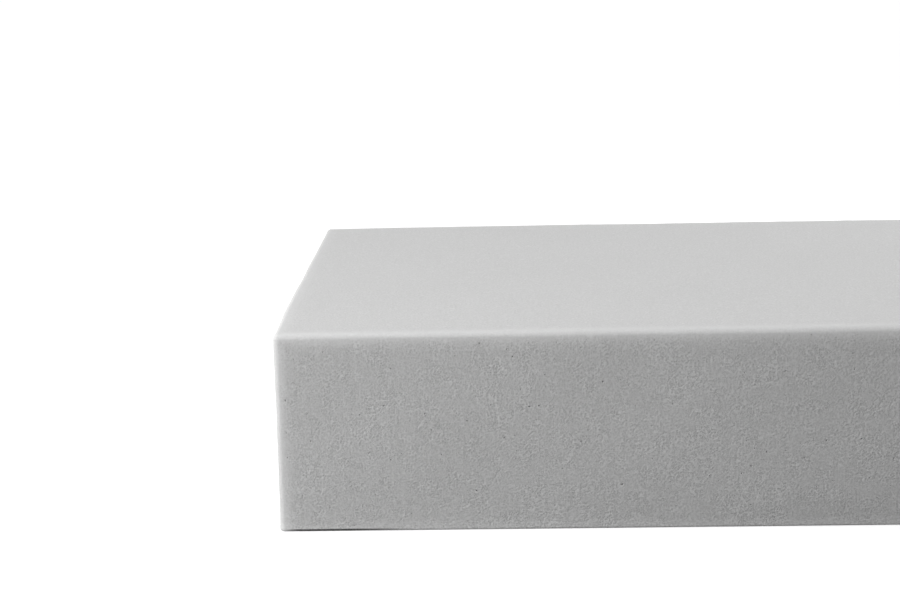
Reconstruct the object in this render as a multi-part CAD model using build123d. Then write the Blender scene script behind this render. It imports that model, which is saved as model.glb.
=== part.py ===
from build123d import *

import os

# Foam block: one piece of open-cell foam, cut square and lying on its largest face.
# Lengths are in millimetres. The origin is the middle of the underside. +X runs along
# the length, +Y from the front to the back, and +Z is up.

# Cut size of the block
block_length = 600.0
block_depth = 300.0
block_thickness = 100.0

# Softness of the cut edges
edge_radius = 3.0  # the upright edges and the rim of the top
underside_radius = 1.0  # the rim that the block stands on, which looks almost sharp


def cut_slab():
    """The slab with square edges, standing on its underside with the origin below its middle."""
    on_underside = (Align.CENTER, Align.CENTER, Align.MIN)
    return Box(block_length, block_depth, block_thickness, align=on_underside)


def soften_edges(slab):
    """Rounds the upright edges and the top rim together, so that they meet in ball corners.

    The rim of the underside comes last and is one closed loop, so its smaller radius
    runs on round the four corners without a step.
    """
    upright_edges = slab.edges().filter_by(Axis.Z)
    top_rim = slab.faces().sort_by(Axis.Z)[-1].edges()
    softened = fillet(upright_edges + top_rim, edge_radius)
    underside_rim = softened.faces().sort_by(Axis.Z)[0].edges()
    return fillet(underside_rim, underside_radius)


foam_block = soften_edges(cut_slab())

os.makedirs("parts", exist_ok=True)
export_step(foam_block, "parts/foam_block.step")
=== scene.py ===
import math

import bpy
import numpy as np
from mathutils import Matrix, Vector


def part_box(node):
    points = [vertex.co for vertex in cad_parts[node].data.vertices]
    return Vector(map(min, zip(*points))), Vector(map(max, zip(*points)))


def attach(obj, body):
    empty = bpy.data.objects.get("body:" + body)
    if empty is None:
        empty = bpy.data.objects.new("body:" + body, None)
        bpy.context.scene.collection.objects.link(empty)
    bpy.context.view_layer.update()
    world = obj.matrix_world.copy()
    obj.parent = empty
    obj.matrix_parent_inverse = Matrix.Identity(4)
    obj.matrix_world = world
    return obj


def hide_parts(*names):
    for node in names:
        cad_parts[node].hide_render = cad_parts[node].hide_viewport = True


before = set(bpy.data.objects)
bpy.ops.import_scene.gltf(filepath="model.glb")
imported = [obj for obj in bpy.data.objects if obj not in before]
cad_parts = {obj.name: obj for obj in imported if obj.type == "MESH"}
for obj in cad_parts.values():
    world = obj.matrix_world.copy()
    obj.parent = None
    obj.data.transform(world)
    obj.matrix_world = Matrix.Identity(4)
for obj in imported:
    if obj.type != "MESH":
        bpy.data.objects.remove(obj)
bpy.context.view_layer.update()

# Foam block: one slab of grey open-cell foam on a plain white floor.
# Lengths are in metres, in the CAD frame.

block_low, block_high = (np.array(corner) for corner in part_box("foam_block"))
block_size = block_high - block_low
block_middle = Vector((block_low + block_high) / 2)

# Faces of the square block: twice the axis that they cross, plus 1 at its high end
LEFT, RIGHT, FRONT, BACK, UNDERSIDE, TOP = range(6)

# Roundings of the solid
EDGE_RADIUS = 0.003  # upright edges and top rim
UNDERSIDE_RADIUS = 0.001  # rim on the floor

# Grid of the foam's skin
GRID_STEP = 0.004  # on the flat faces
ARC_STEPS = 4  # over half of a rounding
LEAST_LINE_GAP = 0.0001  # of two lines that are closer, one is left out
SHEET_GAP = 0.01  # between the unfolded faces

# Burst cells: open pits in the cut faces
PIT_COUNT = 6600
PIT_SIDES = 6  # pit_triangles is laid out for six
PIT_RADIUS_RANGE = (0.00022, 0.00058)
PIT_SIZE_BIAS = 6.0  # above 1, small pits outnumber large ones
PIT_DEPTH_SHARE = 1.6  # of the pit's radius
PIT_ROOM_SHARE = (0.2, 0.8)  # where a pit's middle may lie across its grid square
PIT_RAGGED_SHARE = 0.22  # how much the rim strays from a circle

# Waviness of the cut: wavelength, height and number of waves
CUT_WAVES = (
    (0.30, 0.00028, 10),
    (0.07, 0.00010, 16),
    (0.012, 0.000025, 24),
)
CUT_WAVE_SPREAD = (0.7, 1.4)  # factor on the number of waves per metre
SETTLED_HEIGHT = 0.012  # the cut is flat on the floor, and fully wavy above this

# Soft band along the edges, apart from those on the floor: painted light, a glow standing in for
# light that comes through the foam at its edges
RIM_SOLID = 0.0028  # full up to this distance from the edge
RIM_END = 0.0095
RIM_FALL = 1.5  # power of the fall between them
RIM_CALM = 0.7  # share of the grain and relief that the band loses
LEVEL_CALM = 0.5  # the same on the level faces, which are smoother than the sides
RIM_TOP_LOSS = 0.7  # share of its painted glow that the band loses where the foam faces up

# Foot: painted light and a painted shadow line along the edges on the floor
FOOT_FADE = (0.001, 0.005)  # band along the foot, for its painted light and shadow line: full up to the first distance, gone from the second
FOOT_PAINTED_LIGHT = 0.7  # painted light that lifts the shade at the foot, against the band along the other edges
SHADOW_LINE_HEIGHT = (0.0011, 0.0015)  # painted shadow line: full up to the first height, gone from the second
SHADOW_LINE_START = (0.0, 0.012)  # from the left end: none up to the first, full from the second
SHADOW_LINE_END = (0.035, 0.072)  # from the left end: full up to the first, gone from the second

SEED = 7

# Foam material: textures
FOAM_GREY = 0.48
CELL_SIZE = 0.001
STRUT_RANGE = (0.2, 0.8)  # where a cell's wall starts and is full, in cells from its middle
CLOUD_SCALE = 1100.0
CLOUD_DETAIL = 2.0
DRIFT_SCALE = 14.0
DRIFT_DETAIL = 2.0
STREAK_SCALE = (1100.0, 1100.0, 40.0)  # saw marks: close together, and long from top to bottom
STREAK_DETAIL = 1.0
PATCH_SCALE = 150.0  # patches where the grain is weaker
PATCH_DETAIL = 1.0
PATCH_RANGE = (0.35, 0.65)  # the noise's values where a patch starts and is full
PATCH_CALM = 0.5  # share of the grain and relief that a full patch loses

# Foam material: how much each part changes the tone
STRUT_TONE = 0.3
CELL_TONE = 0.06
CLOUD_TONE = 0.37
DRIFT_TONE = 0.05
STREAK_TONE = 0.18
# painted light: how much lighter the glow along the edges and the foot makes the foam
PAINTED_GLOW_TONE = 0.21
# painted shade: how much darker the floors of the pits are made
PIT_PAINTED_SHADE = 0.1
# painted shadow: how much darker the line on the foot makes the foam
SHADOW_LINE_DARK = 0.85

# Foam material: surface
STRUT_BUMP = 0.9
CLOUD_BUMP = 0.6
STREAK_BUMP = 0.2
BUMP_STRENGTH = 0.59
BUMP_DISTANCE = 0.0003
ROUGHNESS = 0.98
STRUT_GLOSS = 0.12  # how much less rough the cell walls are
SCATTER_WEIGHT = 0.4
SCATTER_REACH = 0.004
SPECULAR = 0.15

# Camera, fitted to the photograph
CAMERA_PLACE = (-0.1882, -1.0221, 0.3016)
CAMERA_YAW = math.radians(-1.66)
CAMERA_PITCH_DOWN = math.radians(12.02)
CAMERA_ROLL = math.radians(-1.18)
SENSOR_WIDTH = 36.0
LENS = 74.4

# Light
AMBIENT = 0.12
SUN_FROM = (-0.25, -0.08, 1.0)
SUN_STRENGTH = 2.47
SUN_ANGLE = math.radians(70.0)
KEY_PLACE = (-0.9, -0.6, 0.4)
KEY_POWER = 6.2
FILL_PLACE = (0.9, 0.6, 0.4)
FILL_POWER = 5.3
LAMP_SIZE = 0.5
WHITE = (1.0, 1.0, 1.0, 1.0)

# Floor: it looks white, but throws as little light on the block's sides as a grey one
FLOOR_GREY = 0.355
FLOOR_SEEN_GREY = 0.80
FLOOR_GLOW = 0.32
FLOOR_HALF_SIZE = 12.0


def smooth_step(values, start, end):
    """0 up to start, 1 from end on, and a smooth rise between them."""
    share = np.clip((values - start) / (end - start), 0.0, 1.0)
    return share * share * (3.0 - 2.0 * share)


def arc_offsets(radius):
    """Distances from a square edge whose grid lines give even steps round its rounding."""
    angles = np.linspace(0.0, math.pi / 4, ARC_STEPS + 1)
    return radius * (1.0 - np.tan(angles))


def grid_lines(low, high, low_offsets, high_offsets):
    """Places of the grid lines along one axis: close at the rounded ends, even between them."""
    flat_low = low + low_offsets.max()
    flat_high = high - high_offsets.max()
    count = round((flat_high - flat_low) / GRID_STEP)
    flat = np.linspace(flat_low, flat_high, count + 1)
    lines = np.sort(np.concatenate([low + low_offsets, flat, high - high_offsets]))
    apart = np.diff(lines) > LEAST_LINE_GAP
    return lines[np.concatenate([[True], apart])]


def block_lines():
    """The grid lines along X, Y and Z, with one where the painted shadow line ends."""
    wide = arc_offsets(EDGE_RADIUS)
    tight = arc_offsets(UNDERSIDE_RADIUS)
    both = np.concatenate([wide, tight])
    foot = np.append(tight, SHADOW_LINE_HEIGHT[1])
    ends = ((both, both), (both, both), (foot, wide))
    return [
        grid_lines(block_low[axis], block_high[axis], *ends[axis])
        for axis in range(3)
    ]


def square_skin(lines):
    """Grid over the six faces of the square block.

    Returns its points, its quads, which face outwards, and the face that each quad lies on.
    """
    counts = [len(line) for line in lines]
    quads = []
    faces = []
    for axis in range(3):
        across, up = (axis + 1) % 3, (axis + 2) % 3
        columns = np.arange(counts[across] - 1)
        rows = np.arange(counts[up] - 1)
        column, row = np.meshgrid(columns, rows, indexing="ij")
        for end in (0, 1):
            corners = []
            for step_across, step_up in ((0, 0), (1, 0), (1, 1), (0, 1)):
                place = [None, None, None]
                place[axis] = np.full(column.size, end * (counts[axis] - 1))
                place[across] = (column + step_across).ravel()
                place[up] = (row + step_up).ravel()
                corners.append(np.ravel_multi_index(place, counts))
            corners = np.stack(corners, axis=1)
            quads.append(corners if end else corners[:, ::-1])
            faces.append(np.full(column.size, 2 * axis + end))
    used, quads = np.unique(np.concatenate(quads), return_inverse=True)
    places = np.unravel_index(used, counts)
    points = np.stack([line[index] for line, index in zip(lines, places)], axis=1)
    return points, quads.reshape(-1, 4), np.concatenate(faces)


def edge_distance(points):
    """Distance of points on the square block's faces to its nearest edge."""
    to_planes = np.minimum(points - block_low, block_high - points)
    return np.sort(to_planes, axis=1)[:, 1]


def rounded(points):
    """Moves points of the square block's faces onto the rounded solid.

    Returns their places and outward normals. In plan, a point's reach is 0 inside the
    roundings and 1 on the sides. Near the top and the underside, points of the level face
    and of the sides each cover half of the rounding.
    """
    inner = np.clip(points[:, :2], block_low[:2] + EDGE_RADIUS, block_high[:2] - EDGE_RADIUS)
    out = (points[:, :2] - inner) / EDGE_RADIUS
    reach = np.abs(out).max(axis=1)
    length = np.linalg.norm(out, axis=1)
    way = out / np.where(length > 0, length, 1.0)[:, None]
    height = points[:, 2].copy()
    radial = reach * EDGE_RADIUS
    normal_out = np.where(np.isclose(reach, 1.0), 1.0, 0.0)
    normal_up = np.zeros(len(points))
    for level, radius, sign in (
        (block_high[2], EDGE_RADIUS, 1.0),
        (block_low[2], UNDERSIDE_RADIUS, -1.0),
    ):
        depth = sign * (level - height)
        inset = (1.0 - reach) * EDGE_RADIUS
        on_level = np.isclose(depth, 0.0)
        on_side = ~on_level & (depth < radius)
        level_angle = np.arctan(np.clip(1.0 - inset / radius, 0.0, 1.0))
        side_angle = np.arctan(np.clip(1.0 - depth / radius, 0.0, 1.0))
        bent_radial = EDGE_RADIUS - radius + radius * np.sin(level_angle)
        level_radial = np.where(level_angle > 0, bent_radial, radial)
        level_drop = radius * (1.0 - np.cos(level_angle))
        side_radial = EDGE_RADIUS - radius * (1.0 - np.cos(side_angle))
        side_drop = radius * (1.0 - np.sin(side_angle))
        level_up = sign * np.cos(level_angle)
        side_up = sign * np.sin(side_angle)
        near = [on_level, on_side]
        drop = np.select(near, [level_drop, side_drop], depth)
        height = np.where(on_level | on_side, level - sign * drop, height)
        radial = np.select(near, [level_radial, side_radial], radial)
        normal_out = np.select(near, [np.sin(level_angle), np.cos(side_angle)], normal_out)
        normal_up = np.select(near, [level_up, side_up], normal_up)
    places = np.column_stack([inner + way * radial[:, None], height])
    normals = np.column_stack([way * normal_out[:, None], normal_up])
    return places, normals


def pit_shapes(points, corners, rng):
    """A ragged round pit in each quad: its middle, its radius and the points of its rim."""
    first = points[corners[:, 0]]
    across = points[corners[:, 1]] - first
    up = points[corners[:, 3]] - first
    share = rng.uniform(*PIT_ROOM_SHARE, size=(PIT_COUNT, 2))
    middle = first + across * share[:, :1] + up * share[:, 1:]
    smallest, largest = PIT_RADIUS_RANGE
    radius = smallest + (largest - smallest) * rng.uniform(size=PIT_COUNT) ** PIT_SIZE_BIAS
    across /= np.linalg.norm(across, axis=1)[:, None]
    up /= np.linalg.norm(up, axis=1)[:, None]
    angles = np.arange(PIT_SIDES) * 2 * math.pi / PIT_SIDES
    ragged = radius[:, None] * rng.uniform(
        1.0 - PIT_RAGGED_SHARE, 1.0 + PIT_RAGGED_SHARE, size=(PIT_COUNT, PIT_SIDES)
    )
    rim = (
        middle[:, None]
        + (ragged * np.cos(angles))[:, :, None] * across[:, None]
        + (ragged * np.sin(angles))[:, :, None] * up[:, None]
    )
    return middle, radius, rim


def pit_triangles(corners, rim_ids, floor_ids):
    """Triangles between each quad's corners and its pit's rim, and those of the pit's walls."""
    low_left, low_right, high_right, high_left = corners.T
    east, north_east, north_west, west, south_west, south_east = rim_ids.T
    skirt = [
        (east, high_right, north_east),
        (north_east, high_right, high_left),
        (north_east, high_left, north_west),
        (north_west, high_left, west),
        (west, high_left, low_left),
        (west, low_left, south_west),
        (south_west, low_left, low_right),
        (south_west, low_right, south_east),
        (south_east, low_right, east),
        (east, low_right, high_right),
    ]
    walls = [
        (rim_ids[:, side], rim_ids[:, (side + 1) % PIT_SIDES], floor_ids)
        for side in range(PIT_SIDES)
    ]
    return [
        np.concatenate([np.column_stack(triangle) for triangle in triangles])
        for triangles in (skirt, walls)
    ]


def cut_pits(points, quads, faces, rng):
    """Opens pits in some of the flat quads.

    Returns the points, how deep each one lies, and the points of the rims. The polygons
    come in three lots, the whole quads, the skirts and the pits' walls, and so do their faces.
    """
    middles = points[quads].mean(axis=1)
    flat = np.flatnonzero(edge_distance(middles) > EDGE_RADIUS)
    chosen = np.sort(rng.choice(flat, PIT_COUNT, replace=False))
    corners = quads[chosen]
    middle, radius, rim = pit_shapes(points, corners, rng)
    rim_count = PIT_COUNT * PIT_SIDES
    rim_ids = len(points) + np.arange(rim_count).reshape(PIT_COUNT, PIT_SIDES)
    floor_ids = len(points) + rim_count + np.arange(PIT_COUNT)
    points = np.concatenate([points, rim.reshape(-1, 3), middle])
    depth = np.zeros(len(points))
    depth[floor_ids] = radius * PIT_DEPTH_SHARE
    skirt, walls = pit_triangles(corners, rim_ids, floor_ids)
    whole = np.ones(len(quads), bool)
    whole[chosen] = False
    return {
        "points": points,
        "depth": depth,
        "rim_ids": rim_ids.ravel(),
        "polygons": [quads[whole], skirt, walls],
        "faces": [
            faces[whole],
            np.tile(faces[chosen], len(skirt) // PIT_COUNT),
            np.tile(faces[chosen], PIT_SIDES),
        ],
    }


def cut_waves(points, rng):
    """Height of the cut's waviness at each point."""
    height = np.zeros(len(points))
    for wavelength, rise, count in CUT_WAVES:
        ways = rng.normal(size=(count, 3))
        ways /= np.linalg.norm(ways, axis=1)[:, None]
        ways *= (2 * math.pi / wavelength * rng.uniform(*CUT_WAVE_SPREAD, size=count))[:, None]
        phases = rng.uniform(0.0, 2 * math.pi, size=count)
        height += rise * math.sqrt(2 / count) * np.sin(points @ ways.T + phases).sum(axis=1)
    return height


def rim_band(points):
    """How far points of the square block lie in the band of painted glow and calmer grain: 1 along
    its edges, 0 on the faces.
    """
    to_planes = np.minimum(points - block_low, block_high - points)
    to_planes[:, 2] = block_high[2] - points[:, 2]
    distance = np.sort(to_planes, axis=1)[:, 1]
    share = np.clip((RIM_END - distance) / (RIM_END - RIM_SOLID), 0.0, 1.0)
    return share ** RIM_FALL


def foot_band(points):
    """How far points of the square block lie in the band along the edges on the floor."""
    low = 1.0 - smooth_step(points[:, 2] - block_low[2], *FOOT_FADE)
    outer = 1.0 - smooth_step(edge_distance(points), *FOOT_FADE)
    return low * outer


def painted_shadow_line(points):
    """How far points of the square block lie in the painted shadow line on its foot, near its left
    end.
    """
    low = 1.0 - smooth_step(points[:, 2] - block_low[2], *SHADOW_LINE_HEIGHT)
    from_left = points[:, 0] - block_low[0]
    stretch = smooth_step(from_left, *SHADOW_LINE_START) * (1.0 - smooth_step(from_left, *SHADOW_LINE_END))
    return low * stretch * foot_band(points)


def shade_skin(mesh, skin):
    """Shades the skin smooth, apart from the pits, whose walls are flat and whose rims are sharp."""
    smooth = np.ones(len(mesh.polygons), bool)
    pit_walls = skin["polygons"][-1]
    smooth[-len(pit_walls):] = False
    mesh.polygons.foreach_set("use_smooth", smooth)
    edge_ends = np.empty(2 * len(mesh.edges), np.int32)
    mesh.edges.foreach_get("vertices", edge_ends)
    on_rim = np.isin(edge_ends, skin["rim_ids"]).reshape(-1, 2).all(axis=1)
    sharp = mesh.attributes.new("sharp_edge", "BOOLEAN", "EDGE")
    sharp.data.foreach_set("value", on_rim)


def write_marks(mesh, skin, normals):
    """Writes the marks that the material reads: how calm the foam is, and where it gets painted
    glow, a painted shadow line and painted shade in its pits.
    """
    points = skin["points"]
    rim = rim_band(points)
    facing_up = np.maximum(normals[:, 2], 0.0)
    marks = {
        "calm": 1.0 - (1.0 - RIM_CALM * rim) * (1.0 - LEVEL_CALM * normals[:, 2] ** 2),
        # painted light: a glow along the edges, less where the foam faces up, and along the foot
        "painted_glow": rim * (1.0 - RIM_TOP_LOSS * facing_up ** 2) + FOOT_PAINTED_LIGHT * foot_band(points),
        # painted shadow: a dark line on the foot near the left end
        "painted_shadow": painted_shadow_line(points),
        # painted shade: the floors of the pits, darker
        "painted_pit_shade": skin["depth"] > 0,
    }
    for name, values in marks.items():
        mark = mesh.attributes.new(name, "FLOAT", "POINT")
        mark.data.foreach_set("value", values.astype(np.float32))


def bake_places(points, faces):
    """Places of polygon corners on the unfolded skin, each face lying flat beside the others."""
    gap = SHEET_GAP
    length, depth, thickness = block_size
    sheet = 2 * depth + 2 * thickness + 5 * gap
    shelf = gap + length + gap
    # By face: axes across and up, whether across is flipped, and the corner where the face lies
    layout = {
        TOP: (0, 1, False, (gap, gap)),
        UNDERSIDE: (0, 1, True, (gap, 2 * gap + depth)),
        FRONT: (0, 2, False, (gap, 3 * gap + 2 * depth)),
        BACK: (0, 2, True, (gap, 4 * gap + 2 * depth + thickness)),
        RIGHT: (2, 1, True, (shelf, gap)),
        LEFT: (2, 1, False, (shelf, 2 * gap + depth)),
    }
    places = np.zeros((len(points), 2))
    for face, (across, up, flipped, corner) in layout.items():
        mine = faces == face
        local = points[mine]
        if flipped:
            places[mine, 0] = block_high[across] - local[:, across]
        else:
            places[mine, 0] = local[:, across] - block_low[across]
        places[mine, 1] = local[:, up] - block_low[up]
        places[mine] += corner
    return places / sheet


def unfold(mesh, skin):
    """Writes the unfolded skin as the mesh's UV map."""
    corner_ids = np.concatenate([lot.ravel() for lot in skin["polygons"]])
    corner_faces = np.concatenate([
        np.repeat(faces, lot.shape[1])
        for lot, faces in zip(skin["polygons"], skin["faces"])
    ])
    unfolded = mesh.uv_layers.new(name="OFBake")
    uv = bake_places(skin["points"][corner_ids], corner_faces)
    unfolded.data.foreach_set("uv", uv.astype(np.float32).ravel())


def foam_mesh():
    """The foam's skin as one closed mesh, with pits and a wavy cut."""
    rng = np.random.default_rng(SEED)
    points, quads, faces = square_skin(block_lines())
    skin = cut_pits(points, quads, faces, rng)
    places, normals = rounded(skin["points"])
    rise = cut_waves(places, rng) * smooth_step(places[:, 2], 0.0, SETTLED_HEIGHT)
    places += normals * (rise - skin["depth"])[:, None]
    polygons = [polygon for lot in skin["polygons"] for polygon in lot.tolist()]
    mesh = bpy.data.meshes.new("cut_foam")
    mesh.from_pydata(places.tolist(), [], polygons)
    shade_skin(mesh, skin)
    write_marks(mesh, skin, normals)
    unfold(mesh, skin)
    mesh.validate()
    mesh.update()
    return mesh


def add_node(tree, kind, *inputs, **settings):
    """A shader node with its settings.

    Its inputs are sockets to link or plain values. None leaves an input as it is.
    """
    node = tree.nodes.new("ShaderNode" + kind)
    for name, value in settings.items():
        setattr(node, name, value)
    for socket, value in zip(node.inputs, inputs):
        if isinstance(value, bpy.types.NodeSocket):
            tree.links.new(value, socket)
        elif value is not None:
            socket.default_value = value
    return node


def set_inputs(tree, node, **inputs):
    """Sets or links a node's inputs by name, with _ for a space."""
    for name, value in inputs.items():
        socket = node.inputs[name.replace("_", " ")]
        if isinstance(value, bpy.types.NodeSocket):
            tree.links.new(value, socket)
        else:
            socket.default_value = value


def maths(tree, operation, *inputs):
    """The result of a maths node."""
    return add_node(tree, "Math", *inputs, operation=operation).outputs[0]


def map_range(tree, *inputs):
    """A value moved from one range to another, which is 0 to 1 unless it is given."""
    return add_node(tree, "MapRange", *inputs).outputs[0]


def noise(tree, place, scale, detail):
    """The value of a noise texture, from 0 to 1."""
    texture = add_node(tree, "TexNoise", place)
    set_inputs(tree, texture, Scale=scale, Detail=detail)
    return texture.outputs[0]


def weighed_sum(tree, start, terms):
    """start plus each term's socket times its weight."""
    total = start
    for socket, weight in terms:
        total = maths(tree, "MULTIPLY_ADD", socket, weight, total)
    return total


def new_material(name):
    """A material with nodes, its node tree and its shader."""
    material = bpy.data.materials.new(name)
    material.use_nodes = True
    tree = material.node_tree
    return material, tree, tree.nodes["Principled BSDF"]


def foam_material():
    """Grey open-cell foam: cells, burst pores, saw marks, a smooth rim, and painted light and shade:
    a glow along the edges and the foot, shade in the pits and a shadow line on the foot.
    """
    material, tree, shader = new_material("open_cell_foam")
    place = add_node(tree, "TexCoord").outputs["Object"]
    cells = add_node(tree, "TexVoronoi", place)
    set_inputs(tree, cells, Scale=1.0 / CELL_SIZE)
    cell = add_node(tree, "SeparateColor", cells.outputs["Color"]).outputs["Red"]
    strut = map_range(tree, cells.outputs["Distance"], *STRUT_RANGE)
    clouds = noise(tree, place, CLOUD_SCALE, CLOUD_DETAIL)
    drift = noise(tree, place, DRIFT_SCALE, DRIFT_DETAIL)
    stretched = add_node(tree, "Mapping", place)
    set_inputs(tree, stretched, Scale=STREAK_SCALE)
    streaks = noise(tree, stretched.outputs[0], 1.0, STREAK_DETAIL)
    calm, painted_glow, painted_shadow, painted_pit_shade = (
        add_node(tree, "Attribute", attribute_name=name).outputs["Fac"]
        for name in ("calm", "painted_glow", "painted_shadow", "painted_pit_shade")
    )

    # The patches calm what the marks leave
    patches = noise(tree, place, PATCH_SCALE, PATCH_DETAIL)
    weaker = map_range(tree, patches, *PATCH_RANGE, 0.0, PATCH_CALM)
    calm = maths(tree, "MULTIPLY_ADD", weaker, maths(tree, "SUBTRACT", 1.0, calm), calm)

    # Tone: the grain lies evenly about 1, and the marks paint light and shade on it
    tones = (
        (strut, STRUT_TONE),
        (cell, CELL_TONE),
        (clouds, CLOUD_TONE),
        (drift, DRIFT_TONE),
        (streaks, STREAK_TONE),
    )
    lowest = 1.0 - sum(weight for _, weight in tones) / 2
    grain = weighed_sum(tree, lowest, tones)
    shade = add_node(tree, "Mix", calm, None, grain, 1.0).outputs[0]
    # painted light and shade: lighter for the glow, darker in the pits and along the shadow line
    for mark, change in ((painted_glow, PAINTED_GLOW_TONE), (painted_pit_shade, -PIT_PAINTED_SHADE), (painted_shadow, -SHADOW_LINE_DARK)):
        shade = maths(tree, "MULTIPLY", shade, maths(tree, "MULTIPLY_ADD", mark, change, 1.0))

    # Relief
    bumps = ((strut, STRUT_BUMP), (clouds, CLOUD_BUMP), (streaks, STREAK_BUMP))
    height = weighed_sum(tree, 0.0, bumps)
    strength = maths(tree, "MULTIPLY_ADD", calm, -BUMP_STRENGTH, BUMP_STRENGTH)
    bump = add_node(tree, "Bump")
    set_inputs(tree, bump, Strength=strength, Distance=BUMP_DISTANCE, Height=height)

    set_inputs(
        tree, shader,
        Base_Color=maths(tree, "MULTIPLY", shade, FOAM_GREY),
        Roughness=maths(tree, "MULTIPLY_ADD", strut, -STRUT_GLOSS, ROUGHNESS),
        Normal=bump.outputs[0],
        Subsurface_Weight=SCATTER_WEIGHT,
        Subsurface_Scale=SCATTER_REACH,
        Subsurface_Radius=(1.0, 1.0, 1.0),
        Specular_IOR_Level=SPECULAR,
    )
    return material


def seen_directly(tree):
    """1 on rays from the camera, and on those that mirrors and glass show."""
    path = add_node(tree, "LightPath").outputs
    seen = maths(tree, "MAXIMUM", path["Is Camera Ray"], path["Is Glossy Ray"])
    return maths(tree, "MAXIMUM", seen, path["Is Transmission Ray"])


def floor_material():
    """Pale matt floor that reads as white, and keeps the block's soft shadow."""
    material, tree, shader = new_material("pale_floor")
    seen = seen_directly(tree)
    set_inputs(
        tree, shader,
        Base_Color=map_range(tree, seen, 0.0, 1.0, FLOOR_GREY, FLOOR_SEEN_GREY),
        Roughness=1.0,
        Specular_IOR_Level=0.0,
        Emission_Color=WHITE,
        Emission_Strength=maths(tree, "MULTIPLY", seen, FLOOR_GLOW),
    )
    return material


def white_world():
    """Soft even light all round, seen as white."""
    world = bpy.data.worlds.new("studio")
    world.use_nodes = True
    tree = world.node_tree
    strength = map_range(tree, seen_directly(tree), 0.0, 1.0, AMBIENT, 1.0)
    set_inputs(tree, tree.nodes["Background"], Color=WHITE, Strength=strength)
    bpy.context.scene.world = world


def link(thing):
    """Puts an object in the scene."""
    bpy.context.scene.collection.objects.link(thing)
    return thing


def area_lamp(name, place, power):
    """A square lamp that faces the block, and that no view shows."""
    lamp = bpy.data.lights.new(name, "AREA")
    lamp.size = LAMP_SIZE
    lamp.energy = power
    holder = link(bpy.data.objects.new(name, lamp))
    holder.location = place
    holder.rotation_euler = (block_middle - Vector(place)).to_track_quat("-Z", "Y").to_euler()
    holder.visible_camera = False


def studio_lamps():
    """A wide soft sun above, a near lamp at the left front and a weaker one at the right back."""
    sun = bpy.data.lights.new("overhead", "SUN")
    sun.energy = SUN_STRENGTH
    sun.angle = SUN_ANGLE
    holder = link(bpy.data.objects.new("overhead", sun))
    holder.rotation_euler = Vector(SUN_FROM).to_track_quat("Z", "Y").to_euler()
    area_lamp("left_front", KEY_PLACE, KEY_POWER)
    area_lamp("right_back", FILL_PLACE, FILL_POWER)


def photo_camera():
    """The camera at the photograph's place, turned by yaw, then pitch, then roll."""
    forward = Vector((
        math.sin(CAMERA_YAW) * math.cos(CAMERA_PITCH_DOWN),
        math.cos(CAMERA_YAW) * math.cos(CAMERA_PITCH_DOWN),
        -math.sin(CAMERA_PITCH_DOWN),
    ))
    right = Vector((math.cos(CAMERA_YAW), -math.sin(CAMERA_YAW), 0.0))
    up = right.cross(forward)
    rolled_right = right * math.cos(CAMERA_ROLL) + up * math.sin(CAMERA_ROLL)
    rolled_up = up * math.cos(CAMERA_ROLL) - right * math.sin(CAMERA_ROLL)
    data = bpy.data.cameras.new("photo_camera")
    data.sensor_width = SENSOR_WIDTH
    data.lens = LENS
    camera = link(bpy.data.objects.new("photo_camera", data))
    turn = Matrix((rolled_right, rolled_up, -forward)).transposed()
    camera.matrix_world = Matrix.Translation(CAMERA_PLACE) @ turn.to_4x4()
    bpy.context.scene.camera = camera


def floor():
    """A wide level floor under the block, which belongs to the stage."""
    mesh = bpy.data.meshes.new("floor")
    side = FLOOR_HALF_SIZE
    level = float(block_low[2])
    outline = [(-side, -side), (side, -side), (side, side), (-side, side)]
    mesh.from_pydata([(x, y, level) for x, y in outline], [], [(0, 1, 2, 3)])
    mesh.materials.append(floor_material())
    link(bpy.data.objects.new("floor", mesh))


def foam_piece():
    """The foam in place of the plain solid."""
    mesh = foam_mesh()
    mesh.materials.append(foam_material())
    piece = link(bpy.data.objects.new("cut_foam", mesh))
    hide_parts("foam_block")
    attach(piece, "root")


foam_piece()
floor()
white_world()
studio_lamps()
photo_camera()
bpy.context.scene.view_settings.view_transform = "Standard"
